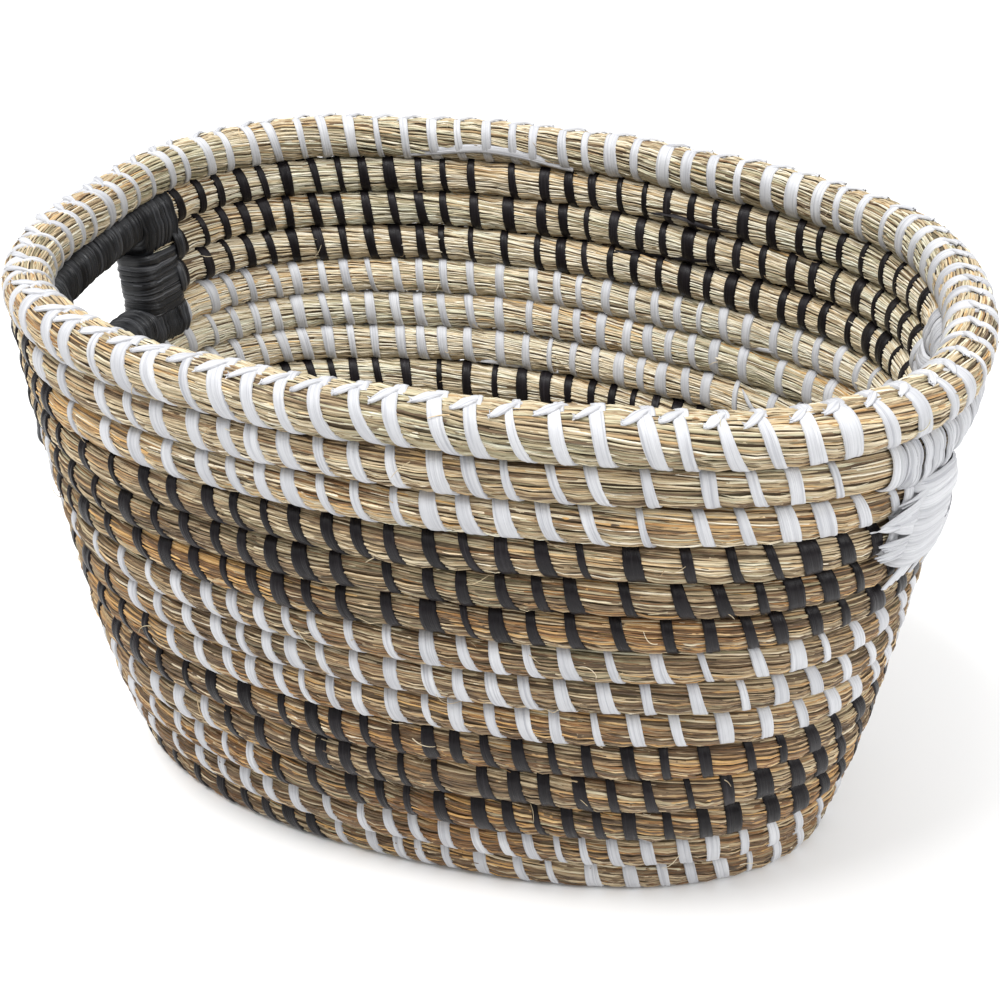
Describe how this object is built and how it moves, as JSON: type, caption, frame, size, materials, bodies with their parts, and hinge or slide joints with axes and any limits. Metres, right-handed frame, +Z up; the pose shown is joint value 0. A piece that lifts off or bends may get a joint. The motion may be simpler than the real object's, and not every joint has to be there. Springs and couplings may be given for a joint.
{
  "type": "storage basket",
  "caption": "Oval open-topped storage basket sewn from coiled seagrass, tapering to a flat base, with a cut-out hand hole in each end.",
  "frame": {"origin": "middle of the basket's outline in plan, at the level of the floor it stands on", "axes": "+X along the long axis towards the light-bound hand hole, +Y towards the back long side, +Z up"},
  "size_m": [0.4392, 0.339, 0.2927],
  "materials": {
    "seagrass_coil": "dry grass blades in a lashed bundle, matt",
    "seagrass_rim": "dry grass blades in a thicker lashed bundle, matt",
    "seagrass_base": "dry grass blades in a lashed bundle, matt",
    "dark_strip": "flat charcoal strip wound closely, low sheen",
    "light_strip": "flat off-white strip with fine lengthwise streaks, low sheen"
  },
  "bodies": {
    "root": {"base_core": "seagrass_base", "base_ring_1": "seagrass_base", "base_ring_2": "seagrass_base", "base_ring_3": "seagrass_base", "base_ring_4": "seagrass_base", "left_handle_back_binding": "dark_strip", "left_handle_front_binding": "dark_strip", "left_handle_lower_binding": "dark_strip", "left_handle_top_binding": "dark_strip", "right_handle_back_binding": "light_strip", "right_handle_front_binding": "light_strip", "right_handle_lower_binding": "light_strip", "right_handle_top_binding": "light_strip", "rim_coil": "seagrass_rim", "rim_crest_plait": "light_strip", "wall_row_02": "seagrass_coil", "wall_row_03_back": "seagrass_coil", "wall_row_03_front": "seagrass_coil", "wall_row_04_back": "seagrass_coil", "wall_row_04_front": "seagrass_coil", "wall_row_05": "seagrass_coil", "wall_row_06": "seagrass_coil", "wall_row_07": "seagrass_coil", "wall_row_08": "seagrass_coil", "wall_row_09": "seagrass_coil", "wall_row_10": "seagrass_coil", "wall_row_11": "seagrass_coil", "wall_row_12": "seagrass_coil", "wall_row_13": "seagrass_coil", "wall_row_14": "seagrass_coil"}
  },
  "joints": []
}
